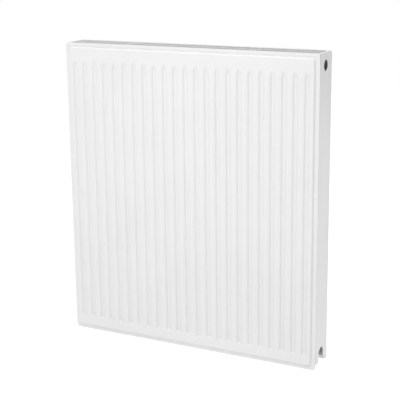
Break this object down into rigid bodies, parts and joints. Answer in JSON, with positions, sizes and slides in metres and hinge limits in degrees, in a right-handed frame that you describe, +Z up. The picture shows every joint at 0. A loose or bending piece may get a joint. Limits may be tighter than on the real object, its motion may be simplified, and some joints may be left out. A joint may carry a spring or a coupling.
{
  "type": "panel radiator",
  "caption": "White steel double-panel radiator with grooved face, convector fins, lift-off slotted top grille, pull-off side covers, tapping tees, hanging lugs, air vent and blanking plug.",
  "frame": {"origin": "middle of the bottom edge, halfway across the whole depth with the hanging lugs", "axes": "+Z up, the grooved face looks along -Y, +X towards the side with the open tappings"},
  "size_m": [0.8, 0.113, 0.9],
  "materials": {
    "white_enamel": "smooth satin-gloss white powder coat",
    "inner_primer": "grey dip primer, on the sheets and fins inside",
    "tapping_steel": "dark phosphated steel",
    "nickel_plate": "nickel plated",
    "seal_rubber": "matt black",
    "white_plastic": "moulded, fine satin"
  },
  "bodies": {
    "radiator_body": {"front_panel_outer_sheet": "white_enamel", "front_panel_inner_sheet": "inner_primer", "rear_panel_inner_sheet": "inner_primer", "rear_panel_outer_sheet": "white_enamel", "front_convector": "inner_primer", "rear_convector": "inner_primer", "tapping_tee_top_left": "tapping_steel", "tapping_tee_top_right": "tapping_steel", "tapping_tee_bottom_left": "tapping_steel", "tapping_tee_bottom_right": "tapping_steel", "hanging_lug_top_left": "white_enamel", "hanging_lug_top_right": "white_enamel", "hanging_lug_bottom_left": "white_enamel", "hanging_lug_bottom_right": "white_enamel", "air_vent_body": "nickel_plate", "air_vent_seal": "seal_rubber", "blanking_plug": "nickel_plate", "blanking_plug_seal": "seal_rubber"},
    "grille": {"top_grille": "white_enamel", "grille_clip_left": "nickel_plate", "grille_clip_right": "nickel_plate"},
    "cover_left": {"side_cover_left": "white_enamel"},
    "cover_right": {"side_cover_right": "white_enamel"},
    "vent_outlet": {"air_vent_outlet": "white_plastic"},
    "vent_screw": {"bleed_screw": "nickel_plate"}
  },
  "joints": [
    {"name": "grille_lift", "type": "slide", "parent": "radiator_body", "child": "grille", "axis": [0, 0, 1], "range_m": [0, 0.06]},
    {"name": "cover_left_pull", "type": "slide", "parent": "radiator_body", "child": "cover_left", "axis": [-1, 0, 0], "range_m": [0, 0.05]},
    {"name": "cover_right_pull", "type": "slide", "parent": "radiator_body", "child": "cover_right", "axis": [1, 0, 0], "range_m": [0, 0.05]},
    {"name": "vent_outlet_swivel", "type": "hinge", "parent": "radiator_body", "child": "vent_outlet", "pos_m": [-0.3946, -0.0035, 0.864], "axis": [-1, 0, 0], "continuous": true},
    {"name": "bleed_screw_turn", "type": "hinge", "parent": "radiator_body", "child": "vent_screw", "pos_m": [-0.3972, -0.0035, 0.864], "axis": [-1, 0, 0], "range_deg": [0, 180]}
  ]
}
